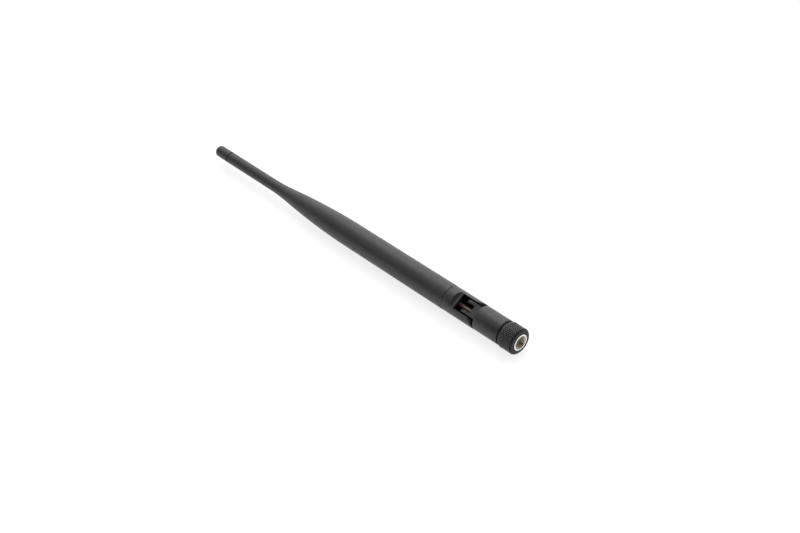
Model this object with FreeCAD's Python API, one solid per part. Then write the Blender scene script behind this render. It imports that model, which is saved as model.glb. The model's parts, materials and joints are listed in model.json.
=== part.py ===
import FreeCAD, Part
import math
import os
from FreeCAD import Vector

# Swivelling, tilting dipole antenna with a reverse-polarity SMA plug. Millimetres.
#
# The antenna lies along X: the plug's mouth faces +X and the rounded tip points to -X. The origin is
# on the axis at the plug's reference plane, the front end of its outer conductor. The tilt hinge is
# modelled with its slot facing +Z and its axis along Y, then rolled about X by HINGE_ROLL.

# Overall
MOUTH_X = 3.2            # the coupling nut's mouth, ahead of the reference plane
OVERALL_LENGTH = 200.0   # mouth to tip
WALL_GAP = 0.05          # radial gap of a glued or pushed-in joint
RUN_GAP = 0.06           # radial gap of a turning joint

# Plug: 1/4-36 coupling thread round a 4.6 mm outer conductor
THREAD_MINOR_R = 2.83
THREAD_MOUTH_R = 3.22
THREAD_LENGTH = 2.8      # reference plane to the mouth chamfer
NUT_NECK_R = 3.95
NUT_FLATS = 8.6
NUT_CORNER_R = 4.8
NUT_RELIEF_R = 3.3
OUTER_CONDUCTOR_R = 2.3
OUTER_CONDUCTOR_BORE_R = 2.05
BODY_R = 3.1
SHANK_R = 2.6
CONTACT_R = 0.635
CONTACT_HOLE_R = 0.475
CONTACT_HOLE_DEPTH = 3.0
SNAP_SEAT_R = 2.55       # floor of the snap ring's groove in the body
SNAP_ROOF_R = 3.6        # and in the nut

# Grip sleeve over the nut
GRIP_R = 6.35
GRIP_LENGTH = 8.0
GRIP_RECESS = 0.2        # the nut's bright end stands this far out of the grip
BEZEL_BACK = 0.76        # from the mouth
KNURL_FRONT = 1.1
KNURL_BACK = 7.0

# Swivel base, its shoulder and its tongue
BASE_R = 6.05
BASE_FRONT = 9.2         # from the mouth
BASE_SHOULDER = 23.15
BASE_BORE_R = 4.4
COLLAR_R = 5.1           # set-back ring that fills most of the gap behind the grip
COLLAR_LENGTH = 0.8
BUSH_LENGTH = 2.6
TONGUE_HALF_WIDTH = 3.28
TONGUE_HALF_HEIGHT = 4.7
BOSS_R = 2.4
BOSS_HALF_WIDTH = 4.02
GROOVE_HALF_WIDTH = 1.95
GROOVE_START = 26.6      # from the mouth
GROOVE_FLOOR = -2.4
CABLE_PASSAGE_R = 1.25
BEVEL_START = 2.6        # half width at which the tongue's lower bevels start
BEVEL_DROP = 0.81
BEVEL_TOP = 3.4          # above this the tongue keeps its full width

# Tilt hinge and its clevis
HINGE_ROLL = 30.0        # degrees about +X
PIN_STATION = 28.7       # from the mouth
TRUNNION_R = 1.6
TRUNNION_TIP = 2.05
EAR_END_R = 4.75         # round upper half of the ears' ends
HEEL_REACH = 3.4         # the ears' lower half and the slot's floor end this far past the pin
CLEVIS_R = 6.12
SLOT_HALF_WIDTH = 4.07
SLOT_FLOOR = -4.75
SLOT_CORNER = 1.0        # slope that joins the slot's floor to the ears
SLOT_END = 35.1          # from the mouth
POCKET_DEPTH = 3.2       # hollow behind the slot's end wall
POCKET_HALF_WIDTH = 3.2
POCKET_HALF_HEIGHT = 2.9
LIP_HEIGHT = 4.5         # flat lip over the slot's end wall
LIP_LENGTH = 1.2
FACET_LENGTH = 1.15      # slope from the lip up to the rim
SEAM = 42.0              # clevis meets the tube, from the mouth
SPIGOT_END = 50.0

# Tube, flare, neck and tip
TUBE_R = 6.17
SHOULDER_R = 5.97
NECK_R = 2.8
NECK_END_R = 2.775
TUBE_WALL = 1.2
NECK_WALL = 1.0
FLARE_START = 103.0      # from the mouth
FLARE_END = 160.0
CONVEX_SHARE = 0.780     # of the flare, the rest is its concave end
NECK_END = 190.3
TIP_HEAD_START = 190.9
TIP_ROUND_R = 2.2

# Coaxial cable, from the core out
CORE_R = 0.15
DIELECTRIC_R = 0.42
BRAID_R = 0.67
JACKET_R = 0.9

# Radiator
SLEEVE_R = 2.75
SLEEVE_BORE_R = 2.45
SLEEVE_BACK = 60.0       # open end, from the mouth
FEED = 88.0              # closed end, from the mouth
WIRE_R = 0.5
COIL_START = 118.0
COIL_END = 128.0
COIL_WIRE_R = 0.3
COIL_R = 1.9
COIL_TURNS = 5
UPPER_FOAM_R = 2.7
WHIP_END = 183.5

X_AXIS = Vector(1, 0, 0)
Y_AXIS = Vector(0, 1, 0)
ORIGIN = Vector(0, 0, 0)


def behind(distance):
    """X of a station given as its distance behind the nut's mouth."""
    return MOUTH_X - distance


PIN_X = behind(PIN_STATION)


def outline(start, *steps):
    """Face in the XZ plane. A step is a point (x, z), or an arc ((x, z) passed, (x, z) reached)."""
    here = Vector(start[0], 0, start[1])
    edges = []
    for step in steps + (start,):
        if isinstance(step[0], tuple):
            passed = Vector(step[0][0], 0, step[0][1])
            reached = Vector(step[1][0], 0, step[1][1])
            edges.append(Part.Arc(here, passed, reached).toShape())
        else:
            reached = Vector(step[0], 0, step[1])
            edges.append(Part.LineSegment(here, reached).toShape())
        here = reached
    return Part.Face(Part.Wire(edges))


def turned(start, *steps):
    """Solid turned about X from an outline of (x, radius) steps."""
    return outline(start, *steps).revolve(ORIGIN, X_AXIS, 360)


def rod(back_x, front_x, radius):
    return Part.makeCylinder(radius, front_x - back_x, Vector(back_x, 0, 0), X_AXIS)


def pipe(back_x, front_x, outer_r, inner_r):
    return rod(back_x, front_x, outer_r).cut(rod(back_x - 1, front_x + 1, inner_r))


def cross_pin(radius, from_y, to_y):
    """Round bar along Y on the tilt axis."""
    return Part.makeCylinder(radius, to_y - from_y, Vector(PIN_X, from_y, 0), Y_AXIS)


def block(low, high):
    size = [b - a for a, b in zip(low, high)]
    return Part.makeBox(*size, Vector(*low))


def cross_section(x, points):
    """Face at one station along X, from its (y, z) corners."""
    corners = [Vector(x, y, z) for y, z in points]
    return Part.Face(Part.makePolygon(corners + corners[:1]))


def hexagon(back_x, front_x, flats, corner_r):
    """Hexagonal bar along X with its corners turned down to corner_r."""
    reach = flats / math.sqrt(3)
    turns = [math.radians(60 * k) for k in range(6)]
    face = cross_section(back_x, [(reach * math.cos(turn), reach * math.sin(turn)) for turn in turns])
    return face.extrude(Vector(front_x - back_x, 0, 0)).common(rod(back_x, front_x, corner_r))


def split_ring(back_x, front_x, outer_r, inner_r, opening_degrees):
    """Flat ring with an opening that faces +Z."""
    reach = 2 * outer_r
    half = math.radians(opening_degrees / 2)
    y, z = reach * math.sin(half), reach * math.cos(half)
    wedge = cross_section(back_x - 1, [(0, 0), (-y, z), (y, z)]).extrude(Vector(front_x - back_x + 2, 0, 0))
    return pipe(back_x, front_x, outer_r, inner_r).cut(wedge)


def rolled(shape):
    """The shape turned about X into the hinge's real attitude."""
    shape.rotate(ORIGIN, X_AXIS, HINGE_ROLL)
    return shape


# Plug -----------------------------------------------------------------------------------------------

NUT_BACK = -4.3
BODY_FACE = -2.4
BODY_BACK = behind(BASE_FRONT) + WALL_GAP
SNAP_GROOVE = (-3.9, -3.4)
CAVITY_BACK = -6.0
BUSH_FRONT = behind(BASE_FRONT)
BUSH_BACK = BUSH_FRONT - BUSH_LENGTH
CLIP_GROOVE = (BUSH_BACK - 0.58, BUSH_BACK - 0.04)
CLIP_GROOVE_R = 2.1
O_RING_X = BUSH_FRONT - 1.3
O_RING_WIRE_R = 0.24
O_RING_SEAT_R = 2.15
SHANK_BACK = CLIP_GROOVE[0] - 1.6
STUB_R = 1.15
STUB_BACK = SHANK_BACK - 3.4
BRAID_FRONT = STUB_BACK + 2.5


def connector_body():
    body = turned(
        (0, OUTER_CONDUCTOR_BORE_R), (0, OUTER_CONDUCTOR_R - 0.15), (-0.15, OUTER_CONDUCTOR_R),
        (BODY_FACE, OUTER_CONDUCTOR_R), (BODY_FACE, BODY_R - 0.1), (BODY_FACE - 0.1, BODY_R),
        (BODY_BACK, BODY_R), (BODY_BACK, SHANK_R), (SHANK_BACK, SHANK_R), (SHANK_BACK, STUB_R),
        (STUB_BACK, STUB_R), (STUB_BACK, BRAID_R), (CAVITY_BACK, BRAID_R),
        (CAVITY_BACK, OUTER_CONDUCTOR_BORE_R))
    body = body.cut(pipe(*SNAP_GROOVE, BODY_R + 1, SNAP_SEAT_R))
    body = body.cut(pipe(*CLIP_GROOVE, SHANK_R + 1, CLIP_GROOVE_R))
    o_ring_half = 0.5
    return body.cut(pipe(O_RING_X - o_ring_half, O_RING_X + o_ring_half, SHANK_R + 1, O_RING_SEAT_R))


def connector_insulator():
    return pipe(CAVITY_BACK + 0.6, 0, OUTER_CONDUCTOR_BORE_R, CONTACT_R)


def socket_contact():
    """Female centre contact with a chamfered mouth and a solder hole for the cable's core."""
    back_x = CAVITY_BACK + 0.2
    contact = rod(back_x, 0, CONTACT_R)
    contact = contact.cut(rod(-CONTACT_HOLE_DEPTH, 1, CONTACT_HOLE_R))
    lead_in = turned((0.01, 0), (0.01, CONTACT_HOLE_R + 0.08), (-0.1, CONTACT_HOLE_R), (-0.1, 0))
    return contact.cut(lead_in).cut(rod(back_x - 1, back_x + 1.6, CORE_R))


def face_gasket():
    return pipe(BODY_FACE, BODY_FACE + 0.6, 3.0, OUTER_CONDUCTOR_R)


def nut_snap_ring():
    back_x, front_x = SNAP_GROOVE[0] + 0.02, SNAP_GROOVE[1] - 0.02
    return split_ring(back_x, front_x, SNAP_ROOF_R - 0.1, SNAP_SEAT_R + WALL_GAP, 50)


def swivel_o_ring():
    return Part.makeTorus(O_RING_SEAT_R + O_RING_WIRE_R, O_RING_WIRE_R, Vector(O_RING_X, 0, 0), X_AXIS)


def swivel_retaining_ring():
    return split_ring(CLIP_GROOVE[0] + 0.02, CLIP_GROOVE[1] - 0.02, 3.8, CLIP_GROOVE_R, 70)


def crimp_ferrule():
    """Sleeve crimped over the body's rear stub and on to the cable's jacket."""
    wall = 0.3
    step_x = STUB_BACK - 0.05
    return turned(
        (SHANK_BACK - 0.3, STUB_R), (SHANK_BACK - 0.3, STUB_R + wall), (step_x, STUB_R + wall),
        (step_x - 0.6, JACKET_R + wall), (step_x - 3.6, JACKET_R + wall), (step_x - 3.6, JACKET_R),
        (step_x, JACKET_R), (step_x, STUB_R))


def coupling_nut():
    neck_back = MOUTH_X - 1.6
    blank = rod(neck_back, MOUTH_X, NUT_NECK_R).fuse(hexagon(NUT_BACK, neck_back, NUT_FLATS, NUT_CORNER_R))
    bore = turned(
        (MOUTH_X + 0.01, 0), (MOUTH_X + 0.01, THREAD_MOUTH_R), (THREAD_LENGTH, THREAD_MINOR_R),
        (0, THREAD_MINOR_R), (0, NUT_RELIEF_R), (BODY_FACE - 0.2, NUT_RELIEF_R),
        (BODY_FACE - 0.2, BODY_R + RUN_GAP), (NUT_BACK - 1, BODY_R + RUN_GAP), (NUT_BACK - 1, 0))
    nut = blank.removeSplitter().cut(bore)
    return nut.cut(pipe(SNAP_GROOVE[0] - 0.05, SNAP_GROOVE[1] + 0.05, SNAP_ROOF_R, 1))


def grip_sleeve():
    face_x = MOUTH_X - GRIP_RECESS
    back_x = behind(GRIP_LENGTH)
    bezel_back = behind(BEZEL_BACK)
    knurl_front, knurl_back = behind(KNURL_FRONT), behind(KNURL_BACK)
    bezel_r, groove_r, rim_r = GRIP_R - 0.32, GRIP_R - 0.75, GRIP_R - 0.1
    sleeve = turned(
        (face_x, 0), (face_x, bezel_r - 0.5), (face_x - 0.42, bezel_r), (bezel_back, bezel_r),
        (bezel_back, groove_r), (knurl_front, groove_r), (knurl_front, GRIP_R - 0.2),
        (knurl_front - 0.2, GRIP_R), (knurl_back + 0.2, GRIP_R), (knurl_back, rim_r - 0.1),
        (knurl_back - 0.15, rim_r), (back_x + 0.3, rim_r), (back_x, rim_r - 0.3), (back_x, 0))
    pocket = hexagon(back_x - 1, MOUTH_X - 1.6, NUT_FLATS, NUT_CORNER_R)
    return sleeve.cut(rod(back_x, MOUTH_X, NUT_NECK_R)).cut(pocket)


# Swivel base ----------------------------------------------------------------------------------------

def swivel_bush():
    return pipe(BUSH_BACK, BUSH_FRONT, BASE_BORE_R, SHANK_R + RUN_GAP)


def tongue():
    """Flat-sided tongue with a round end about the tilt axis, bevelled where it passes the slot's floor."""
    root_x = behind(BASE_SHOULDER) + 1
    w, h = TONGUE_HALF_WIDTH, TONGUE_HALF_HEIGHT
    face = outline((root_x, -h), (PIN_X, -h), ((PIN_X - h, 0), (PIN_X, h)), (root_x, h))
    plate = face.extrude(Vector(0, 2 * w, 0))
    plate.translate(Vector(0, -w, 0))
    section = [(-w, 0), (-w, h - BEVEL_DROP), (-BEVEL_START, h), (BEVEL_START, h), (w, h - BEVEL_DROP),
               (w, 0)]
    bevelled_end = cross_section(PIN_X, section).revolve(Vector(PIN_X, 0, 0), Y_AXIS, 360)
    bevelled_floor = cross_section(PIN_X, [(y, -z) for y, z in section]).extrude(Vector(root_x - PIN_X, 0, 0))
    square_top = block((PIN_X - h, -w, BEVEL_TOP), (root_x, w, h))
    square_root = block((PIN_X, -w, 0), (root_x, w, h))
    kept = bevelled_end.fuse(bevelled_floor).fuse(square_top).fuse(square_root)
    return plate.common(kept).fuse(cross_pin(BOSS_R, -BOSS_HALF_WIDTH, BOSS_HALF_WIDTH))


def swivel_base():
    front_x, shoulder_x, groove_x = behind(BASE_FRONT), behind(BASE_SHOULDER), behind(GROOVE_START)
    collar_x = front_x + COLLAR_LENGTH
    barrel = turned(
        (collar_x, 0), (collar_x, COLLAR_R - 0.15), (collar_x - 0.15, COLLAR_R), (front_x, COLLAR_R),
        (front_x, BASE_R - 0.2), (front_x - 0.2, BASE_R), (shoulder_x + 0.15, BASE_R),
        (shoulder_x, BASE_R - 0.15), (shoulder_x, 0))
    base = barrel.fuse(tongue())
    bore_back = shoulder_x + 3.5
    groove = block((PIN_X - 8, -GROOVE_HALF_WIDTH, GROOVE_FLOOR), (groove_x, GROOVE_HALF_WIDTH, 8))
    passage_mouth = turned(
        (groove_x - 0.01, 0), (groove_x - 0.01, CABLE_PASSAGE_R + 0.5), (groove_x + 0.5, CABLE_PASSAGE_R),
        (groove_x + 0.5, 0))
    for cutter in (rod(bore_back, collar_x + 1, BASE_BORE_R),
                   rod(groove_x - 1, bore_back + 1, CABLE_PASSAGE_R),
                   groove, passage_mouth,
                   cross_pin(TRUNNION_R + WALL_GAP, -BASE_R, BASE_R)):
        base = base.cut(cutter)
    return rolled(base)


# Arm ------------------------------------------------------------------------------------------------

def clevis_slot():
    """The slot between the ears, open at the ears' ends and on the side that the arm tilts to."""
    slot_x, w, reach = behind(SLOT_END), SLOT_HALF_WIDTH, 20
    section = [(-w, reach), (-w, SLOT_FLOOR + SLOT_CORNER), (SLOT_CORNER - w, SLOT_FLOOR),
               (w - SLOT_CORNER, SLOT_FLOOR), (w, SLOT_FLOOR + SLOT_CORNER), (w, reach)]
    slot = cross_section(slot_x, section).extrude(Vector(PIN_X + reach - slot_x, 0, 0))
    pocket = block((slot_x - POCKET_DEPTH, -POCKET_HALF_WIDTH, -POCKET_HALF_HEIGHT),
                   (slot_x + 1, POCKET_HALF_WIDTH, POCKET_HALF_HEIGHT))
    return slot.fuse(pocket)


def beyond_ear_ends():
    """All past the ears' ends: round about the pin above, square below with a cut-away heel."""
    reach, heel_x = 20, PIN_X + HEEL_REACH
    above = block((PIN_X, -reach, 0), (PIN_X + reach, reach, reach))
    above = above.cut(cross_pin(EAR_END_R, -reach - 1, reach + 1))
    face = outline((PIN_X + EAR_END_R, 0), (PIN_X + reach, 0), (PIN_X + reach, -reach),
                   (heel_x, -reach), (heel_x, -EAR_END_R), (PIN_X + EAR_END_R, -HEEL_REACH))
    below = face.extrude(Vector(0, 2 * reach, 0))
    below.translate(Vector(0, -reach, 0))
    return above.fuse(below)


def facet_cutter():
    """Flat lip over the end of the slot, and the slope that runs from it up to the rim."""
    lip_front, lip_back = behind(SLOT_END - 1), behind(SLOT_END + LIP_LENGTH)
    reach = 3 * CLEVIS_R
    rise = CLEVIS_R - LIP_HEIGHT
    high = (lip_back - 3 * FACET_LENGTH, LIP_HEIGHT + 3 * rise)
    face = outline((lip_front, LIP_HEIGHT), (lip_back, LIP_HEIGHT), high,
                   (high[0], reach), (lip_front, reach))
    wedge = face.extrude(Vector(0, 2 * SLOT_HALF_WIDTH, 0))
    wedge.translate(Vector(0, -SLOT_HALF_WIDTH, 0))
    return wedge


def hinge_clevis():
    seam_x, spigot_x, slot_x = behind(SEAM), behind(SPIGOT_END), behind(SLOT_END)
    spigot_r = TUBE_R - TUBE_WALL - WALL_GAP
    front_x = PIN_X + EAR_END_R
    clevis = turned(
        (front_x, 0), (front_x, CLEVIS_R), (seam_x + 0.2, CLEVIS_R), (seam_x, CLEVIS_R - 0.2),
        (seam_x, spigot_r), (spigot_x + 0.3, spigot_r), (spigot_x, spigot_r - 0.3), (spigot_x, 0))
    for cutter in (clevis_slot(), beyond_ear_ends(), facet_cutter(),
                   rod(spigot_x - 1, slot_x + 1, CABLE_PASSAGE_R),
                   rod(spigot_x - 1, seam_x + 1.5, spigot_r - 1.2)):
        clevis = clevis.cut(cutter)
    for side in (-1, 1):
        low, high = sorted((side * TRUNNION_TIP, side * (SLOT_HALF_WIDTH + 0.3)))
        clevis = clevis.fuse(cross_pin(TRUNNION_R, low, high))
    return rolled(clevis)


def flare(wide, thin, convex_share):
    """Steps of two tangent arcs from the wide point (x, r) to the thin one, convex first."""
    length, drop = wide[0] - thin[0], wide[1] - thin[1]
    angle = 2 * math.atan(drop / length)
    total = length / math.sin(angle)
    convex, concave = total * convex_share, total * (1 - convex_share)

    def from_wide(turn):
        return (wide[0] - convex * math.sin(turn), wide[1] - convex * (1 - math.cos(turn)))

    def from_thin(turn):
        return (thin[0] + concave * math.sin(turn), thin[1] + concave * (1 - math.cos(turn)))

    return (from_wide(angle / 2), from_wide(angle)), (from_thin(angle / 2), thin)


def radome_tube():
    seam_x, end_x = behind(SEAM), behind(NECK_END)
    wide_x, thin_x = behind(FLARE_START), behind(FLARE_END)
    outside = flare((wide_x, SHOULDER_R), (thin_x, NECK_R), CONVEX_SHARE)
    blank = turned(
        (seam_x, 0), (seam_x, TUBE_R - 0.2), (seam_x - 0.2, TUBE_R), (wide_x, SHOULDER_R), *outside,
        (end_x + 0.1, NECK_END_R), (end_x, NECK_END_R - 0.1), (end_x, 0))
    inside = flare((wide_x, SHOULDER_R - TUBE_WALL), (thin_x, NECK_R - NECK_WALL), CONVEX_SHARE)
    hollow = turned(
        (seam_x + 1, 0), (seam_x + 1, TUBE_R - TUBE_WALL), (behind(SPIGOT_END + 1), TUBE_R - TUBE_WALL),
        (wide_x, SHOULDER_R - TUBE_WALL), *inside, (end_x - 1, NECK_R - NECK_WALL), (end_x - 1, 0))
    return blank.cut(hollow)


def tip_cap():
    """Rounded plug. Its short reduced length leaves a fine groove in front of its head."""
    end_x, head_x, neck_x = MOUTH_X - OVERALL_LENGTH, behind(TIP_HEAD_START), behind(NECK_END)
    spigot_r, spigot_back = NECK_R - NECK_WALL - WALL_GAP, neck_x + 5.6
    groove_r, flat_r = NECK_END_R - 0.35, NECK_END_R - TIP_ROUND_R
    lean = TIP_ROUND_R * (1 - math.sqrt(0.5))
    return turned(
        (spigot_back, 0), (spigot_back, spigot_r - 0.2), (spigot_back - 0.2, spigot_r), (neck_x, spigot_r),
        (neck_x, groove_r), (head_x, groove_r), (head_x, NECK_END_R - 0.08), (head_x - 0.08, NECK_END_R),
        (end_x + TIP_ROUND_R, NECK_END_R), ((end_x + lean, NECK_END_R - lean), (end_x, flat_r)), (end_x, 0))


# Radiator -------------------------------------------------------------------------------------------

FEED_X = behind(FEED)
WIRE_BACK = FEED_X - 1.0


def dipole_sleeve():
    """Lower half of the dipole: a tube closed at the feed, where it is soldered to the braid."""
    open_x = behind(SLEEVE_BACK)
    bore = rod(FEED_X + 0.5, open_x + 1, SLEEVE_BORE_R)
    return rod(FEED_X, open_x, SLEEVE_R).cut(bore).cut(rod(FEED_X - 1, FEED_X + 1, BRAID_R))


def sleeve_spacer():
    front_x = behind(SLEEVE_BACK) - 1
    return pipe(front_x - 3, front_x, SLEEVE_BORE_R, JACKET_R)


def feed_heat_shrink():
    return pipe(FEED_X - 6, FEED_X, WIRE_R + 0.25, WIRE_R)


def radiator_wire():
    wire = rod(behind(COIL_START), WIRE_BACK, WIRE_R)
    return wire.cut(rod(WIRE_BACK - 1.2, WIRE_BACK + 1, CORE_R))


def phasing_coil():
    """Open coil with a radial leg at each end, soldered to the wires on the axis."""
    start_x, end_x = behind(COIL_END), behind(COIL_START)
    leg_inset = COIL_WIRE_R
    length = end_x - start_x - 2 * leg_inset
    helix = Part.makeHelix(length / COIL_TURNS, length, COIL_R)
    section = Part.Wire(Part.makeCircle(COIL_WIRE_R, Vector(COIL_R, 0, 0), Y_AXIS))
    winding = Part.Wire(helix).makePipeShell([section], True, True)
    winding.rotate(ORIGIN, Y_AXIS, 90)
    winding.translate(Vector(start_x + leg_inset, 0, 0))
    legs = [Part.makeCylinder(COIL_WIRE_R, COIL_R, Vector(x, 0, 0), Vector(0, 0, -1))
            for x in (start_x + leg_inset, end_x - leg_inset)]
    return legs[0].fuse(winding).fuse(legs[1])


def whip_wire():
    return rod(behind(WHIP_END), behind(COIL_END), WIRE_R)


def foam_spacer_lower():
    back_x = behind(SLEEVE_BACK + 18)
    return pipe(back_x, back_x + 6, SHOULDER_R - TUBE_WALL - WALL_GAP, SLEEVE_R)


def foam_spacer_upper():
    back_x = behind(COIL_END + 14)
    return pipe(back_x, back_x + 6, UPPER_FOAM_R, WIRE_R)


# Cable ----------------------------------------------------------------------------------------------

def cable_core():
    return rod(WIRE_BACK - 1.2, CAVITY_BACK + 1.8, CORE_R)


def cable_dielectric():
    return pipe(FEED_X - 0.6, CAVITY_BACK, DIELECTRIC_R, CORE_R)


def cable_braid():
    return pipe(FEED_X, BRAID_FRONT, BRAID_R, DIELECTRIC_R)


def cable_jacket():
    return pipe(FEED_X + 1.5, STUB_BACK - 0.05, JACKET_R, BRAID_R)


PARTS = (
    connector_body, connector_insulator, socket_contact, face_gasket, nut_snap_ring, swivel_o_ring,
    swivel_retaining_ring, crimp_ferrule, coupling_nut, grip_sleeve, swivel_bush, swivel_base,
    hinge_clevis, radome_tube, tip_cap, dipole_sleeve, sleeve_spacer, feed_heat_shrink, radiator_wire,
    phasing_coil, whip_wire, foam_spacer_lower, foam_spacer_upper, cable_core, cable_dielectric,
    cable_braid, cable_jacket)

os.makedirs("parts", exist_ok=True)
for make in PARTS:
    make().exportStep("parts/" + make.__name__ + ".step")
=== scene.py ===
import json
import math

import bpy
import numpy as np
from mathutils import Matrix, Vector


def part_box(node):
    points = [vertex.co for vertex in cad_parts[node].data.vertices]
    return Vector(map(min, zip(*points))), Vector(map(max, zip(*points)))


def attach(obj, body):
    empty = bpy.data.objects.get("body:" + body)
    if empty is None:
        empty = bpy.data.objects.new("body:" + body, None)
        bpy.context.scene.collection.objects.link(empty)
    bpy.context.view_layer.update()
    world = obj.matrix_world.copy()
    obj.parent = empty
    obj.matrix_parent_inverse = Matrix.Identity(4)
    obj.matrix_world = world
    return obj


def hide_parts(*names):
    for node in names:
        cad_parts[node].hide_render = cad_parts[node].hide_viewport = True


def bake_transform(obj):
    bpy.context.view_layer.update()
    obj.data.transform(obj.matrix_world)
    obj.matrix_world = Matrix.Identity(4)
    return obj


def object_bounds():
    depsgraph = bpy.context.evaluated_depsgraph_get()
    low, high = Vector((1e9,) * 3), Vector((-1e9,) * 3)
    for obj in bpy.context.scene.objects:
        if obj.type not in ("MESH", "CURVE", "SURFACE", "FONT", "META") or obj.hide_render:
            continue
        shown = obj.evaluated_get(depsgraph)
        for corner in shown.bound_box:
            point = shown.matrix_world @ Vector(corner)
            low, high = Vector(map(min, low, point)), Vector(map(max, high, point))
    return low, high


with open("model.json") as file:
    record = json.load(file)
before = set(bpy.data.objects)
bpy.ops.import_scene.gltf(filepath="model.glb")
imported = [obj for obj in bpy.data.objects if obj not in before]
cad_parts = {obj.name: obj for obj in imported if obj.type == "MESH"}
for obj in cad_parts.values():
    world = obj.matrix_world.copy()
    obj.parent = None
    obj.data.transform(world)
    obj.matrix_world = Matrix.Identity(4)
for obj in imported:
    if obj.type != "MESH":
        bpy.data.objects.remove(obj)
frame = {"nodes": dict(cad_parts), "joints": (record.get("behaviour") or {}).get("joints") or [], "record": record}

cad_low, cad_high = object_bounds()

# Lengths in this script are millimetres unless a name ends in _M; the scene itself is in metres.
MM = 0.001
NODES = frame["nodes"]
JOINTS = {joint["name"]: joint for joint in frame["joints"]}
BODY_OF_NODE = {node: body for body, nodes in frame["record"]["behaviour"]["bodies"].items()
                for node in nodes}


def span(node):
    """Lowest and highest X of a CAD node, and its largest radius, in millimetres."""
    low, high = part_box(node)
    return low.x / MM, high.x / MM, high.y / MM


# Turned pieces ---------------------------------------------------------------------------------------

def soften(corners, steps=4):
    """Points of a closed outline of (x, radius, corner radius, kind), with its corners rounded."""
    points = []
    count = len(corners)
    for k, (x, r, round_r, kind) in enumerate(corners):
        here = np.array((x, r))
        before = np.array(corners[k - 1][:2]) - here
        after = np.array(corners[(k + 1) % count][:2]) - here
        lengths = np.linalg.norm(before), np.linalg.norm(after)
        turn = math.pi - math.acos(np.clip(before @ after / (lengths[0] * lengths[1]), -1, 1))
        cut = min(round_r * math.tan(turn / 2), 0.45 * min(lengths)) if round_r else 0
        if cut < 1e-4:
            points.append((x, r, kind))
            continue
        start, end = here + before / lengths[0] * cut, here + after / lengths[1] * cut
        for s in np.linspace(0, 1, steps + 1):
            bend = (1 - s) ** 2 * start + 2 * s * (1 - s) * here + s ** 2 * end
            points.append((bend[0], bend[1], kind))
    return points


def turned(name, points, segments, radius=None, smooth_degrees=35):
    """Closed mesh turned about X from a closed outline of (x, radius, kind) points.

    radius(x, r, turn, kind) may reshape it. An outline that starts and ends on the axis gets poles.
    """
    x = np.array([p[0] for p in points])
    r = np.array([p[1] for p in points])
    kind = np.array([p[2] for p in points])
    turns = np.linspace(0, 2 * math.pi, segments, endpoint=False)
    shaped = np.repeat(r[:, None], segments, axis=1)
    if radius:
        shaped = radius(x[:, None], shaped, turns[None, :], kind[:, None])
    poles = r[0] < 1e-6 and r[-1] < 1e-6
    rows = range(1, len(points) - 1) if poles else range(len(points))
    verts = [(x[i], shaped[i, j] * math.cos(turns[j]), shaped[i, j] * math.sin(turns[j]))
             for i in rows for j in range(segments)]
    count = len(rows)
    faces = []
    for i in range(count - 1 if poles else count):
        for j in range(segments):
            k, m = (i + 1) % count, (j + 1) % segments
            faces.append((i * segments + j, k * segments + j, k * segments + m, i * segments + m))
    if poles:
        first, last = len(verts), len(verts) + 1
        verts += [(x[0], 0, 0), (x[-1], 0, 0)]
        base = (count - 1) * segments
        for j in range(segments):
            m = (j + 1) % segments
            faces.append((first, j, m))
            faces.append((last, base + m, base + j))
    mesh = bpy.data.meshes.new(name)
    mesh.from_pydata([(a * MM, b * MM, c * MM) for a, b, c in verts], [], faces)
    finish_mesh(mesh, smooth_degrees)
    piece = bpy.data.objects.new(name, mesh)
    bpy.context.scene.collection.objects.link(piece)
    return piece


def finish_mesh(mesh, smooth_degrees):
    """Outward faces, smooth shading up to an angle, and a UV map of (turn, length in metres)."""
    mesh.validate()
    mesh.update()
    volume = sum(face.center.dot(face.normal) * face.area for face in mesh.polygons)
    if volume < 0:
        mesh.flip_normals()
    mesh.shade_smooth()
    mesh.set_sharp_from_angle(angle=math.radians(smooth_degrees))
    uv = mesh.uv_layers.new(name="turn_and_length")
    for face in mesh.polygons:
        middle = math.atan2(face.center.z, face.center.y)
        for loop in face.loop_indices:
            co = mesh.vertices[mesh.loops[loop].vertex_index].co
            turn = math.atan2(co.z, co.y)
            turn += 2 * math.pi * round((middle - turn) / (2 * math.pi))
            uv.data[loop].uv = (turn / (2 * math.pi), co.x)


def run(start, end, steps, kind):
    """Evenly spaced outline points from start to end, both (x, radius)."""
    return [(start[0] + (end[0] - start[0]) * s, start[1] + (end[1] - start[1]) * s, kind)
            for s in np.linspace(0, 1, steps + 1)]


def hexagon_radius(turn, flats, corner_r):
    """Radius of a hexagon with its corners turned down to corner_r."""
    sector = math.pi / 3
    off = (turn + sector / 2) % sector - sector / 2
    return np.minimum(flats / 2 / np.cos(np.abs(off) - sector / 2), corner_r)


# Knurled grip ----------------------------------------------------------------------------------------

NUT_FLATS, NUT_CORNER_R, NUT_NECK_R, NUT_NECK_LENGTH = 8.6, 4.8, 3.95, 1.6
KNURL_STARTS = 24          # grooves of each hand
KNURL_PITCH = 0.98         # along the axis
KNURL_DEPTH = 0.42
KNURL_SLOPE = 2.6          # steepness of the grooves' sides; the rest of a diamond is flat
KNURL_FADE = 0.2           # the grooves run out over this length at both ends
KNURL_BAND = (1.15, 6.95)  # from the mouth
KNURL_ROWS = 94            # of mesh points along the band
BEZEL_BACK, BEZEL_STEP, GROOVE_DEPTH, RIM_STEP = 0.76, 0.32, 0.75, 0.1
MOUTH_X = span("coupling_nut")[1]


def zigzag(s):
    """0 at whole numbers, 1 half way between them."""
    return 1 - np.abs(2 * (s % 1) - 1)


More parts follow.
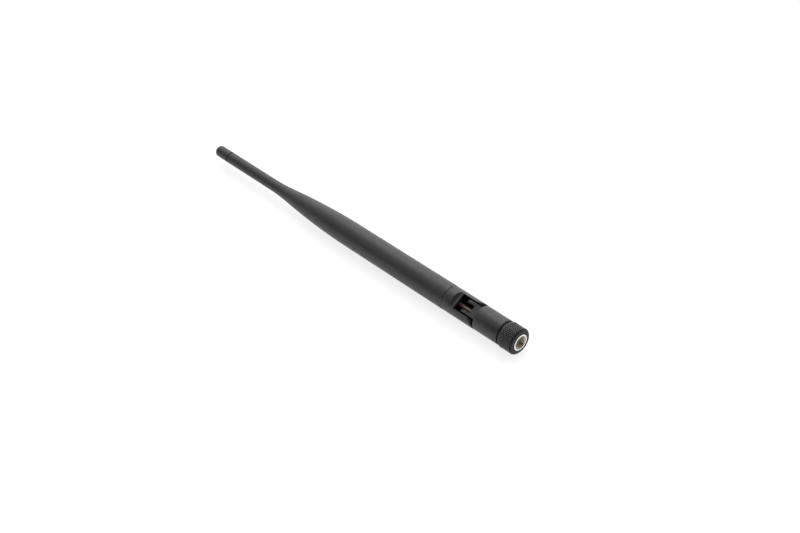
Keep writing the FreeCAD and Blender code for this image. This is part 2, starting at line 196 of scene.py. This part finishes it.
def grip_radius(x, r, turn, kind):
    """Diamond knurl on the outside, the nut's hexagon inside."""
    around = KNURL_STARTS * turn / (2 * math.pi)
    along = x / KNURL_PITCH
    height = np.minimum(zigzag(around + along), zigzag(around - along))
    height = np.clip(KNURL_SLOPE * height, 0, 1)
    edge = np.minimum(MOUTH_X - KNURL_BAND[0] - x, x - (MOUTH_X - KNURL_BAND[1]))
    fade = np.clip(edge / KNURL_FADE, 0, 1)
    knurled = r - KNURL_DEPTH * (1 - height) * fade
    r = np.where(kind == "knurl", knurled, r)
    return np.where(kind == "hexagon", hexagon_radius(turn, NUT_FLATS, NUT_CORNER_R), r)


def make_grip():
    back_x, face_x, grip_r = span("grip_sleeve")
    front, back = MOUTH_X - KNURL_BAND[0], MOUTH_X - KNURL_BAND[1]
    bezel_x, bezel_r = MOUTH_X - BEZEL_BACK, grip_r - BEZEL_STEP
    groove_r, rim_r = grip_r - GROOVE_DEPTH, grip_r - RIM_STEP
    rear_groove_r = grip_r - 0.4
    neck_x = MOUTH_X - NUT_NECK_LENGTH
    outline = soften([
        (face_x, NUT_NECK_R, 0.05, "plain"), (face_x, bezel_r - 0.5, 0.1, "plain"),
        (face_x - 0.42, bezel_r, 0.07, "plain"), (bezel_x, bezel_r, 0.06, "plain"),
        (bezel_x, groove_r, 0.08, "plain"), (front + 0.02, groove_r, 0.08, "plain")])
    outline += run((front, grip_r), (back, grip_r), KNURL_ROWS, "knurl")
    outline += soften([
        (back - 0.02, rear_groove_r, 0.04, "plain"), (back - 0.2, rear_groove_r, 0.04, "plain"),
        (back - 0.26, rim_r, 0.06, "plain"), (back_x + 0.32, rim_r, 0.08, "plain"),
        (back_x, rim_r - 0.34, 0.08, "plain"), (back_x, NUT_CORNER_R + 0.1, 0.05, "plain")])
    outline += [(back_x + 0.1, NUT_CORNER_R, "hexagon"), (neck_x, NUT_CORNER_R, "hexagon"),
                (neck_x + 0.01, NUT_NECK_R, "plain")]
    grip = turned("knurled_grip", outline, KNURL_STARTS * 16, grip_radius)
    return finished(grip, ["grip_sleeve"], [knurled_plastic()])


# Coupling nut with its inside thread -----------------------------------------------------------------

THREAD_PITCH = 25.4 / 36
THREAD_MINOR_R, THREAD_DEPTH, THREAD_MOUTH_R = 2.83, 0.36, 3.22
THREAD_END_X = 2.8              # where the mouth's chamfer starts
NUT_RELIEF_R, NUT_RELIEF_BACK_X, NUT_REAR_BORE_R = 3.3, -2.6, 3.16
RING_GROOVE_R, RING_GROOVE_X = 3.6, (-3.95, -3.35)


def nut_radius(x, r, turn, kind):
    """Helical thread inside, hexagon outside."""
    groove = zigzag(x / THREAD_PITCH - turn / (2 * math.pi))
    groove = np.clip(1.5 * groove - 0.2, 0, 1)
    fade = np.clip((x - 0.02) / 0.35, 0, 1)
    thread = THREAD_MINOR_R + THREAD_DEPTH * groove * fade
    along_chamfer = (x - THREAD_END_X) / (MOUTH_X - THREAD_END_X)
    chamfer = THREAD_MINOR_R + along_chamfer * (THREAD_MOUTH_R - THREAD_MINOR_R)
    r = np.where(kind == "thread", np.maximum(thread, chamfer), r)
    return np.where(kind == "hexagon", hexagon_radius(turn, NUT_FLATS, NUT_CORNER_R), r)


def make_nut():
    back_x = span("coupling_nut")[0]
    neck_x = MOUTH_X - NUT_NECK_LENGTH
    groove_back, groove_front = RING_GROOVE_X
    outline = soften([
        (MOUTH_X, THREAD_MOUTH_R, 0.04, "plain"), (MOUTH_X, NUT_NECK_R, 0.12, "plain"),
        (neck_x + 0.01, NUT_NECK_R, 0, "plain")])
    outline += [(neck_x, NUT_CORNER_R, "hexagon"), (back_x + 0.2, NUT_CORNER_R, "hexagon")]
    outline += soften([
        (back_x, NUT_NECK_R, 0.05, "plain"), (back_x, NUT_REAR_BORE_R, 0.05, "plain"),
        (groove_back, NUT_REAR_BORE_R, 0, "plain"), (groove_back, RING_GROOVE_R, 0, "plain"),
        (groove_front, RING_GROOVE_R, 0, "plain"), (groove_front, NUT_REAR_BORE_R, 0, "plain"),
        (NUT_RELIEF_BACK_X, NUT_REAR_BORE_R, 0, "plain"), (NUT_RELIEF_BACK_X, NUT_RELIEF_R, 0, "plain"),
        (-0.01, NUT_RELIEF_R, 0, "plain")])
    outline += run((0, THREAD_MINOR_R), (MOUTH_X, THREAD_MINOR_R), 96, "thread")
    nut = turned("threaded_nut", outline, 144, nut_radius, smooth_degrees=50)
    for face in nut.data.polygons:
        inside = face.center.x > 0 and math.hypot(face.center.y, face.center.z) < THREAD_MOUTH_R * MM
        face.material_index = 1 if inside else 0
    return finished(nut, ["coupling_nut"], [turned_nickel(), thread_brass()])


# Tube and tip ----------------------------------------------------------------------------------------

TUBE_R, SHOULDER_R, NECK_R, NECK_END_R = 6.17, 5.97, 2.8, 2.775
TUBE_WALL, NECK_WALL = 1.2, 1.0
FLARE_FROM_SEAM, FLARE_LENGTH = 61.0, 57.0
FLARE_STEPS = 48         # along the flare's convex arc, half as many along its concave one
CONVEX_SHARE = 0.780     # of the flare, the rest is its concave end
SPIGOT_LENGTH = 8.0      # of the clevis, inside the tube
TIP_HEAD, TIP_NECK = 9.1, 9.7   # front end of the tip's head and of the groove past it, from the tip
TIP_GROOVE_DEPTH, TIP_ROUND_R = 0.35, 2.2


def flare(start, end):
    """Outline points along two tangent arcs from the wide (x, r) to the thin one, convex first."""
    length, drop = start[0] - end[0], start[1] - end[1]
    angle = 2 * math.atan(drop / length)
    total = length / math.sin(angle)
    convex, concave = total * CONVEX_SHARE, total * (1 - CONVEX_SHARE)
    points = []
    for turn in np.linspace(0, angle, FLARE_STEPS + 1):
        points.append((start[0] - convex * math.sin(turn), start[1] - convex * (1 - math.cos(turn)), "plain"))
    for turn in np.linspace(angle, 0, FLARE_STEPS // 2 + 1)[1:]:
        points.append((end[0] + concave * math.sin(turn), end[1] + concave * (1 - math.cos(turn)), "plain"))
    return points


def make_tube():
    seam_x = span("hinge_clevis")[0] + SPIGOT_LENGTH
    end_x = span("tip_cap")[0] + TIP_NECK
    wide_x = seam_x - FLARE_FROM_SEAM
    thin_x = wide_x - FLARE_LENGTH
    outside = soften([(seam_x, TUBE_R - TUBE_WALL, 0, "plain"), (seam_x, TUBE_R - 0.22, 0.05, "plain"),
                      (seam_x - 0.22, TUBE_R, 0.2, "plain"), (seam_x - 1, TUBE_R, 0, "plain")])
    outside += run((seam_x - 2, TUBE_R - 0.01), (wide_x + 1, SHOULDER_R), 30, "plain")
    outside += flare((wide_x, SHOULDER_R), (thin_x, NECK_R))
    outside += run((thin_x - 1, NECK_R), (end_x + 0.2, NECK_END_R), 12, "plain")
    outside += soften([(end_x + 0.12, NECK_END_R, 0.08, "plain"), (end_x, NECK_END_R - 0.12, 0.05, "plain"),
                       (end_x, NECK_R - NECK_WALL, 0, "plain"), (end_x + 1, NECK_R - NECK_WALL, 0, "plain")])
    inside = flare((wide_x, SHOULDER_R - TUBE_WALL), (thin_x, NECK_R - NECK_WALL))
    outline = outside + inside[::-1] + [(seam_x - SPIGOT_LENGTH - 1, TUBE_R - TUBE_WALL, "plain")]
    tube = turned("radome", outline, 160)
    return finished(tube, ["radome_tube"], [satin_plastic("radome_black")])


def make_tip():
    end_x, back_x, _ = span("tip_cap")
    spigot_r, groove_r = NECK_R - NECK_WALL - 0.05, NECK_END_R - TIP_GROOVE_DEPTH
    head_x, neck_x = end_x + TIP_HEAD, end_x + TIP_NECK
    dome = [(end_x + TIP_ROUND_R * (1 - math.sin(turn)),
             NECK_END_R - TIP_ROUND_R * (1 - math.cos(turn)), "plain")
            for turn in np.linspace(0, math.pi / 2, 22)]
    outline = [(back_x, 0, "plain")]
    outline += soften([(back_x, spigot_r - 0.2, 0.05, "plain"), (back_x - 0.2, spigot_r, 0.05, "plain"),
                       (neck_x, spigot_r, 0, "plain"), (neck_x, groove_r, 0, "plain"),
                       (head_x, groove_r, 0.05, "plain"), (head_x, NECK_END_R, 0.09, "plain"),
                       (head_x - 0.5, NECK_END_R, 0, "plain")])
    outline += dome + [(end_x, 0, "plain")]
    tip = turned("rounded_tip", outline, 128)
    return finished(tip, ["tip_cap"], [satin_plastic("tip_black")])


# Cable -----------------------------------------------------------------------------------------------

CABLE_BORE_R = {"cable_core": 0, "cable_dielectric": 0.15, "cable_braid": 0.42, "cable_jacket": 0.67}
BEND_AHEAD, BEND_BEHIND = 4.2, 8.0   # of the tilt pin
BEND_STEP = 0.3                      # between mesh rings along the bend


def make_cable_layer(node, material):
    """One layer of the coaxial cable, with closer mesh rings near the tilt pin."""
    back_x, front_x, outer_r = span(node)
    inner_r = CABLE_BORE_R[node]
    pin_x = JOINTS["arm_tilt"]["pos_m"][0] / MM
    bend_start, bend_end = pin_x + BEND_AHEAD, pin_x - BEND_BEHIND
    near = np.arange(bend_end - 1, bend_start + 1, BEND_STEP)
    outer = [(x, outer_r, "plain") for x in (front_x, *near[::-1], back_x)]
    if inner_r:
        outline = outer + [(x, inner_r, "plain") for x, r, k in outer[::-1]]
    else:
        outline = [(front_x, 0, "plain")] + outer + [(back_x, 0, "plain")]
    layer = turned(node + "_flexible", outline, 40)
    layer.data.materials.append(material)
    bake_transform(layer)
    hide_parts(node)


def make_cable():
    make_cable_layer("cable_jacket", fep_jacket())
    make_cable_layer("cable_braid", woven_braid())
    make_cable_layer("cable_dielectric", ptfe("dielectric_ptfe"))
    make_cable_layer("cable_core", metal("core_silver", (0.85, 0.84, 0.82), 0.25))


# Materials -------------------------------------------------------------------------------------------

class Nodes:
    """Short calls for one material's node tree."""

    def __init__(self, name):
        self.material = bpy.data.materials.new(name)
        self.material.use_nodes = True
        self.tree = self.material.node_tree
        self.shader = self.tree.nodes["Principled BSDF"]
        self.place = self.add("ShaderNodeTexCoord").outputs["Object"]

    def add(self, kind, **settings):
        node = self.tree.nodes.new(kind)
        for key, value in settings.items():
            setattr(node, key, value)
        return node

    def link(self, source, target):
        self.tree.links.new(source, target)

    def noise(self, size_mm, detail=3.0, roughness=0.55, place=None):
        """Noise whose features are about size_mm across."""
        node = self.add("ShaderNodeTexNoise")
        node.inputs["Scale"].default_value = 1 / (size_mm * MM)
        node.inputs["Detail"].default_value = detail
        node.inputs["Roughness"].default_value = roughness
        self.link(place or self.place, node.inputs["Vector"])
        return node.outputs["Fac"]

    def spread(self, value, low, high, from_low=0.3, from_high=0.7):
        """The value's range from_low to from_high stretched to low to high."""
        node = self.add("ShaderNodeMapRange")
        limits = {"From Min": from_low, "From Max": from_high, "To Min": low, "To Max": high}
        for name, number in limits.items():
            node.inputs[name].default_value = number
        self.link(value, node.inputs["Value"])
        return node.outputs["Result"]

    def math(self, operation, a, b=0.0):
        node = self.add("ShaderNodeMath", operation=operation)
        for socket, value in zip(node.inputs, (a, b)):
            if isinstance(value, (int, float)):
                socket.default_value = value
            else:
                self.link(value, socket)
        return node.outputs["Value"]

    def tint(self, value, low, high):
        """Colour between low at 0 and high at 1."""
        node = self.add("ShaderNodeMix", data_type="RGBA")
        node.inputs["A"].default_value = (*low, 1)
        node.inputs["B"].default_value = (*high, 1)
        self.link(value, node.inputs["Factor"])
        return node.outputs["Result"]

    def bump(self, height, distance_mm, strength, under=None):
        """Normal of a height map, over another bump's normal if under is given."""
        node = self.add("ShaderNodeBump")
        node.inputs["Distance"].default_value = distance_mm * MM
        node.inputs["Strength"].default_value = strength
        self.link(height, node.inputs["Height"])
        if under:
            self.link(under, node.inputs["Normal"])
        return node.outputs["Normal"]

    def apart(self):
        """Separate XYZ node of the place on the piece."""
        node = self.add("ShaderNodeSeparateXYZ")
        self.link(self.place, node.inputs["Vector"])
        return node.outputs

    def axis_distance(self, place):
        """Distance in metres from the X axis, from the outputs of apart()."""
        across = self.math("POWER", place["Y"], 2)
        up = self.math("POWER", place["Z"], 2)
        return self.math("SQRT", self.math("ADD", across, up))

    def edges(self, width_mm):
        """About 1 on worn edges and 0 on open surfaces."""
        rounded = self.add("ShaderNodeBevel", samples=4)
        rounded.inputs["Radius"].default_value = width_mm * MM
        geometry = self.add("ShaderNodeNewGeometry")
        dot = self.add("ShaderNodeVectorMath", operation="DOT_PRODUCT")
        self.link(rounded.outputs["Normal"], dot.inputs[0])
        self.link(geometry.outputs["Normal"], dot.inputs[1])
        return self.spread(dot.outputs["Value"], 1, 0, 0.80, 0.985)

    def surface(self, colour, roughness, normal=None):
        """The finished material."""
        for socket, value in (("Base Color", colour), ("Roughness", roughness), ("Normal", normal)):
            if value is not None:
                self.link(value, self.shader.inputs[socket])
        return self.material


def satin_plastic(name, grain=0.16, shade=0.023, rough=(0.36, 0.50)):
    """Black moulded plastic with a fine spark-eroded grain, faint handling marks and paler edges."""
    n = Nodes(name)
    cloud = n.noise(7.0, 4)
    speck = n.noise(grain * 2.2, 2)
    tone = n.math("ADD", n.math("MULTIPLY", cloud, 0.6), n.math("MULTIPLY", speck, 0.4))
    base = n.tint(n.spread(tone, 0, 1), (shade * 0.82,) * 3, (shade * 1.2, shade * 1.17, shade * 1.2))
    worn = n.math("MULTIPLY", n.edges(0.18), n.spread(n.noise(0.9, 4), 0, 0.5, 0.35, 0.65))
    colour = n.add("ShaderNodeMix", data_type="RGBA")
    colour.inputs["B"].default_value = (shade * 4.5, shade * 4.5, shade * 4.6, 1)
    n.link(worn, colour.inputs["Factor"])
    n.link(base, colour.inputs["A"])
    roughness = n.math("ADD", n.spread(n.noise(3.0, 5), rough[0], rough[1]), n.spread(speck, -0.04, 0.04))
    fine = n.bump(n.noise(grain, 2, 0.6), 0.010, 0.55)
    normal = n.bump(n.noise(12.0, 2), 0.05, 0.25, fine)
    n.shader.inputs["Specular IOR Level"].default_value = 0.5
    return n.surface(colour.outputs["Result"], roughness, normal)


def knurled_plastic():
    """The grip's black plastic: near-black in the knurl's grooves as painted shade and lighter on its tips as a
    painted highlight.
    """
    n = Nodes("grip_black")
    grip_r = span("grip_sleeve")[2]
    high = n.spread(n.axis_distance(n.apart()), 0, 1, (grip_r - 0.40) * MM, (grip_r - 0.02) * MM)
    # Painted shade in the knurl's grooves and a painted highlight on its tips, from the distance to the axis.
    tip_light_and_groove_shade = n.math("MULTIPLY", high, n.spread(n.noise(1.6, 4), 0.6, 1.0))
    colour = n.tint(tip_light_and_groove_shade, (0.006, 0.006, 0.007), (0.085, 0.083, 0.088))
    roughness = n.math("ADD", n.spread(tip_light_and_groove_shade, 0.60, 0.42, 0, 1), n.spread(n.noise(0.6, 3), -0.05, 0.05))
    normal = n.bump(n.noise(0.12, 2), 0.008, 0.35)
    return n.surface(colour, roughness, normal)


def metal(name, colour, rough):
    """Plated or drawn metal with fine lengthwise marks, stains and uneven polish."""
    n = Nodes(name)
    stretch = n.add("ShaderNodeMapping")
    stretch.inputs["Scale"].default_value = (0.12, 1, 1)
    n.link(n.place, stretch.inputs["Vector"])
    marks = n.noise(0.12, 3, 0.7, stretch.outputs["Vector"])
    stain = n.spread(n.noise(2.4, 5), 0, 1)
    tone = n.tint(stain, tuple(0.86 * c for c in colour), colour)
    cloudy = n.spread(n.noise(0.9, 4), rough * 0.8, rough * 1.3)
    roughness = n.math("ADD", cloudy, n.spread(marks, -0.04, 0.04))
    n.shader.inputs["Metallic"].default_value = 1.0
    return n.surface(tone, roughness, n.bump(marks, 0.004, 0.5))


def turning_marks(n):
    """Height of fine rings left by a lathe tool, from the distance to the axis and along it."""
    place, pitch_mm = n.apart(), 0.09
    out = n.math("ADD", n.axis_distance(place), place["X"])
    return n.math("SINE", n.math("MULTIPLY", out, 2 * math.pi / (pitch_mm * MM)))


def turned_nickel():
    """Bright nickel plate over lathe-turned brass."""
    n = Nodes("nut_nickel")
    stain = n.spread(n.noise(1.8, 5), 0, 1)
    tone = n.tint(stain, (0.76, 0.73, 0.69), (0.90, 0.88, 0.85))
    roughness = n.spread(n.noise(0.5, 4), 0.16, 0.32)
    fine = n.bump(turning_marks(n), 0.0012, 0.6)
    n.shader.inputs["Metallic"].default_value = 1.0
    return n.surface(tone, roughness, n.bump(n.noise(0.2, 3), 0.003, 0.4, fine))


def thread_brass():
    """Warm plate on the thread's flanks, with painted shade darkening its roots."""
    n = Nodes("thread_gold")
    radius = n.axis_distance(n.apart())
    root = n.spread(radius, 0, 1, THREAD_MINOR_R * MM, (THREAD_MINOR_R + THREAD_DEPTH) * MM)
    painted_root_shade = n.math("MULTIPLY", root, n.spread(n.noise(0.8, 4), 0.75, 1.0))
    # The colour goes near-black towards the thread's roots as painted shade.
    tone = n.tint(painted_root_shade, (0.84, 0.73, 0.56), (0.030, 0.019, 0.010))
    roughness = n.math("ADD", n.spread(root, 0.14, 0.5, 0, 1), n.spread(n.noise(0.5, 4), 0.0, 0.06))
    n.shader.inputs["Metallic"].default_value = 1.0
    return n.surface(tone, roughness, n.bump(n.noise(0.3, 3), 0.002, 0.3))


def ptfe(name):
    """Waxy white fluoropolymer."""
    n = Nodes(name)
    tone = n.tint(n.spread(n.noise(0.8, 4), 0, 1), (0.74, 0.73, 0.69), (0.86, 0.85, 0.82))
    roughness = n.spread(n.noise(0.4, 3), 0.38, 0.55)
    n.shader.inputs["Subsurface Weight"].default_value = 0.15
    n.shader.inputs["Subsurface Radius"].default_value = (0.0006, 0.0005, 0.0004)
    return n.surface(tone, roughness, n.bump(n.noise(0.1, 3), 0.004, 0.4))


def rubber(name, low, high):
    """Matt rubber or shrunk sleeving between two colours."""
    n = Nodes(name)
    tone = n.tint(n.spread(n.noise(0.7, 4), 0, 1), low, high)
    roughness = n.spread(n.noise(0.3, 3), 0.6, 0.8)
    return n.surface(tone, roughness, n.bump(n.noise(0.08, 2), 0.006, 0.5))


def foam():
    """Closed-cell foam with open cut cells, darker towards each cell's hollow middle as painted shade."""
    n = Nodes("foam_grey")
    cells = n.add("ShaderNodeTexVoronoi")
    cells.inputs["Scale"].default_value = 1 / (0.35 * MM)
    n.link(n.place, cells.inputs["Vector"])
    # The hollow middles of the cells get the darker tone as painted shade.
    tone = n.tint(n.spread(cells.outputs["Distance"], 0, 1, 0.1, 0.7), (0.45, 0.45, 0.43), (0.80, 0.80, 0.77))
    roughness = n.spread(n.noise(1.0, 3), 0.75, 0.95)
    return n.surface(tone, roughness, n.bump(cells.outputs["Distance"], 0.08, 0.8))


STRANDS, STRAND_LAY = 16, 4.0   # of the braid; the lay is one strand's length per turn


def weave(n):
    """Height of a braid woven from strands that wind both ways, from the piece's turn and length."""
    uv = n.add("ShaderNodeUVMap", uv_map="turn_and_length")
    apart = n.add("ShaderNodeSeparateXYZ")
    n.link(uv.outputs["UV"], apart.inputs["Vector"])
    around = n.math("MULTIPLY", apart.outputs["X"], math.pi * STRANDS)
    along = n.math("MULTIPLY", apart.outputs["Y"], math.pi * STRANDS / (STRAND_LAY * MM))
    one = n.math("SINE", n.math("ADD", around, along))
    other = n.math("SINE", n.math("SUBTRACT", around, along))
    return n.math("MAXIMUM", one, other)


def woven_braid():
    """Silvered strands, with painted shade where they cross under."""
    n = Nodes("braid_silver")
    height = weave(n)
    # The low parts of the weave are darkened as painted shade.
    tone = n.tint(n.spread(height, 0, 1, -0.2, 1), (0.30, 0.27, 0.24), (0.82, 0.81, 0.79))
    roughness = n.spread(n.noise(0.3, 3), 0.24, 0.42)
    n.shader.inputs["Metallic"].default_value = 1.0
    return n.surface(tone, roughness, n.bump(height, 0.03, 0.9))


def fep_jacket():
    """Glossy brown fluoropolymer. The braid below prints through it faintly."""
    n = Nodes("jacket_brown")
    print_through = n.math("MULTIPLY", n.spread(weave(n), 0, 1, -0.2, 1), n.spread(n.noise(1.5, 3), 0.3, 1))
    tone = n.tint(print_through, (0.26, 0.13, 0.10), (0.50, 0.32, 0.27))
    roughness = n.spread(n.noise(0.8, 4), 0.20, 0.32)
    n.shader.inputs["Coat Weight"].default_value = 0.4
    n.shader.inputs["Coat Roughness"].default_value = 0.12
    return n.surface(tone, roughness, n.bump(weave(n), 0.005, 0.25))


# Pieces and CAD nodes in the frame ---------------------------------------------------------------------

def finished(piece, nodes, materials):
    """The piece rides on its nodes' body and stands for them."""
    for material in materials:
        piece.data.materials.append(material)
    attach(piece, BODY_OF_NODE[nodes[0]])
    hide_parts(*nodes)
    return piece


def dress(node, material, edge_mm=0.0):
    """A CAD node gets a material, and softened edges if edge_mm is set."""
    piece = NODES[node]
    piece.data.materials.clear()
    piece.data.materials.append(material)
    if edge_mm:
        weld = piece.modifiers.new("joined_faces", "WELD")
        weld.merge_threshold = 0.0005 * MM
        bevel = piece.modifiers.new("soft_edges", "BEVEL")
        bevel.width = edge_mm * MM
        bevel.segments = 3
        bevel.limit_method = "ANGLE"
        bevel.angle_limit = math.radians(40)
        bevel.use_clamp_overlap = True
        bevel.harden_normals = True


def dress_nodes():
    """Materials of all CAD nodes that keep their own shape."""
    hinge = satin_plastic("hinge_black", grain=0.14, shade=0.022, rough=(0.34, 0.48))
    dress("hinge_clevis", hinge, 0.10)
    dress("swivel_base", hinge, 0.08)
    dress("swivel_bush", hinge)
    gold = metal("plated_gold", (0.82, 0.62, 0.33), 0.22)
    for node in ("connector_body", "socket_contact", "crimp_ferrule"):
        dress(node, gold)
    brass = metal("drawn_brass", (0.75, 0.56, 0.30), 0.28)
    for node in ("dipole_sleeve", "radiator_wire", "whip_wire", "phasing_coil"):
        dress(node, brass)
    steel = metal("spring_steel", (0.56, 0.56, 0.57), 0.30)
    for node in ("nut_snap_ring", "swivel_retaining_ring"):
        dress(node, steel)
    dress("connector_insulator", ptfe("plug_ptfe"))
    dress("sleeve_spacer", ptfe("bead_ptfe"))
    dress("face_gasket", rubber("gasket_red", (0.38, 0.07, 0.04), (0.52, 0.11, 0.07)))
    dress("swivel_o_ring", rubber("o_ring_black", (0.014, 0.014, 0.014), (0.03, 0.03, 0.03)))
    dress("feed_heat_shrink", rubber("shrink_black", (0.02, 0.02, 0.02), (0.04, 0.04, 0.04)))
    cut_foam = foam()
    for node in ("foam_spacer_lower", "foam_spacer_upper"):
        dress(node, cut_foam)


# Studio ----------------------------------------------------------------------------------------------

FLOOR_GLOW = 0.80
BACKDROP = (-0.50, 0.72, 0.48)   # towards the bright end of the light tent
TENT_LIGHT = 0.22, 1.75          # on the dark side and at the backdrop
TENT_FALL = 1.7                  # how fast the light falls away from the backdrop
AIM = (MOUTH_X - 73.85, 0, -0.46)
CAMERA_DISTANCE_M = 0.8579


def make_camera():
    """85.5 mm lens, 39 degrees up, looking across the antenna from the plug's side."""
    azimuth, elevation = math.radians(45.37), math.radians(39.12)
    aim = Vector(AIM) * MM
    back = Vector((math.sin(azimuth) * math.cos(elevation), -math.cos(azimuth) * math.cos(elevation),
                   math.sin(elevation)))
    data = bpy.data.cameras.new("camera")
    data.lens, data.sensor_width = 85.5, 36.0
    data.clip_start, data.clip_end = 0.05, 20
    camera = bpy.data.objects.new("camera", data)
    camera.location = aim + back * CAMERA_DISTANCE_M
    camera.rotation_euler = (-back).to_track_quat("-Z", "Y").to_euler()
    bpy.context.scene.collection.objects.link(camera)
    bpy.context.scene.camera = camera


def make_floor():
    """A plain white floor under the antenna. It glows a little, so that shadows stay faint."""
    half, floor_z = 2.0, cad_low.z
    mesh = bpy.data.meshes.new("floor")
    mesh.from_pydata([(-half, -half, floor_z), (half, -half, floor_z), (half, half, floor_z),
                      (-half, half, floor_z)], [], [(0, 1, 2, 3)])
    floor = bpy.data.objects.new("floor", mesh)
    bpy.context.scene.collection.objects.link(floor)
    n = Nodes("floor_white")
    tone = n.tint(n.spread(n.noise(60, 3), 0, 1), (0.24, 0.24, 0.239), (0.26, 0.26, 0.259))
    n.shader.inputs["Emission Color"].default_value = (1, 1, 1, 1)
    n.shader.inputs["Emission Strength"].default_value = FLOOR_GLOW
    mesh.materials.append(n.surface(tone, n.spread(n.noise(20, 3), 0.75, 0.9)))


def make_softbox():
    """A faint round softbox over the antenna's middle."""
    data = bpy.data.lights.new("overhead_softbox", "AREA")
    data.shape, data.size, data.energy = "DISK", 0.9, 3
    light = bpy.data.objects.new("overhead_softbox", data)
    away = Vector((-0.35, 0.35, 1.0)).normalized()
    light.location = away * 1.2 + Vector((-70, 0, 0)) * MM
    light.rotation_euler = (-away).to_track_quat("-Z", "Y").to_euler()
    bpy.context.scene.collection.objects.link(light)


def make_light():
    """A light tent: bright behind and above the antenna, dim on the camera's side."""
    world = bpy.data.worlds.new("studio")
    world.use_nodes = True
    tree = world.node_tree
    place = tree.nodes.new("ShaderNodeTexCoord")
    dot = tree.nodes.new("ShaderNodeVectorMath")
    dot.operation = "DOT_PRODUCT"
    dot.inputs[1].default_value = BACKDROP
    ramp = tree.nodes.new("ShaderNodeMapRange")
    ramp.inputs["From Min"].default_value, ramp.inputs["From Max"].default_value = -0.35, 0.95
    fall = tree.nodes.new("ShaderNodeMath")
    fall.operation = "POWER"
    fall.inputs[1].default_value = TENT_FALL
    level = tree.nodes.new("ShaderNodeMapRange")
    level.inputs["To Min"].default_value, level.inputs["To Max"].default_value = TENT_LIGHT
    tree.links.new(place.outputs["Generated"], dot.inputs[0])
    tree.links.new(dot.outputs["Value"], ramp.inputs["Value"])
    tree.links.new(ramp.outputs["Result"], fall.inputs[0])
    tree.links.new(fall.outputs["Value"], level.inputs["Value"])
    tree.nodes["Background"].inputs["Color"].default_value = (1, 1, 1, 1)
    tree.links.new(level.outputs["Result"], tree.nodes["Background"].inputs["Strength"])
    bpy.context.scene.world = world
    make_softbox()
    bpy.context.scene.view_settings.view_transform = "Standard"


make_camera()
make_floor()
make_light()
make_grip()
make_nut()
make_tube()
make_tip()
make_cable()
dress_nodes()
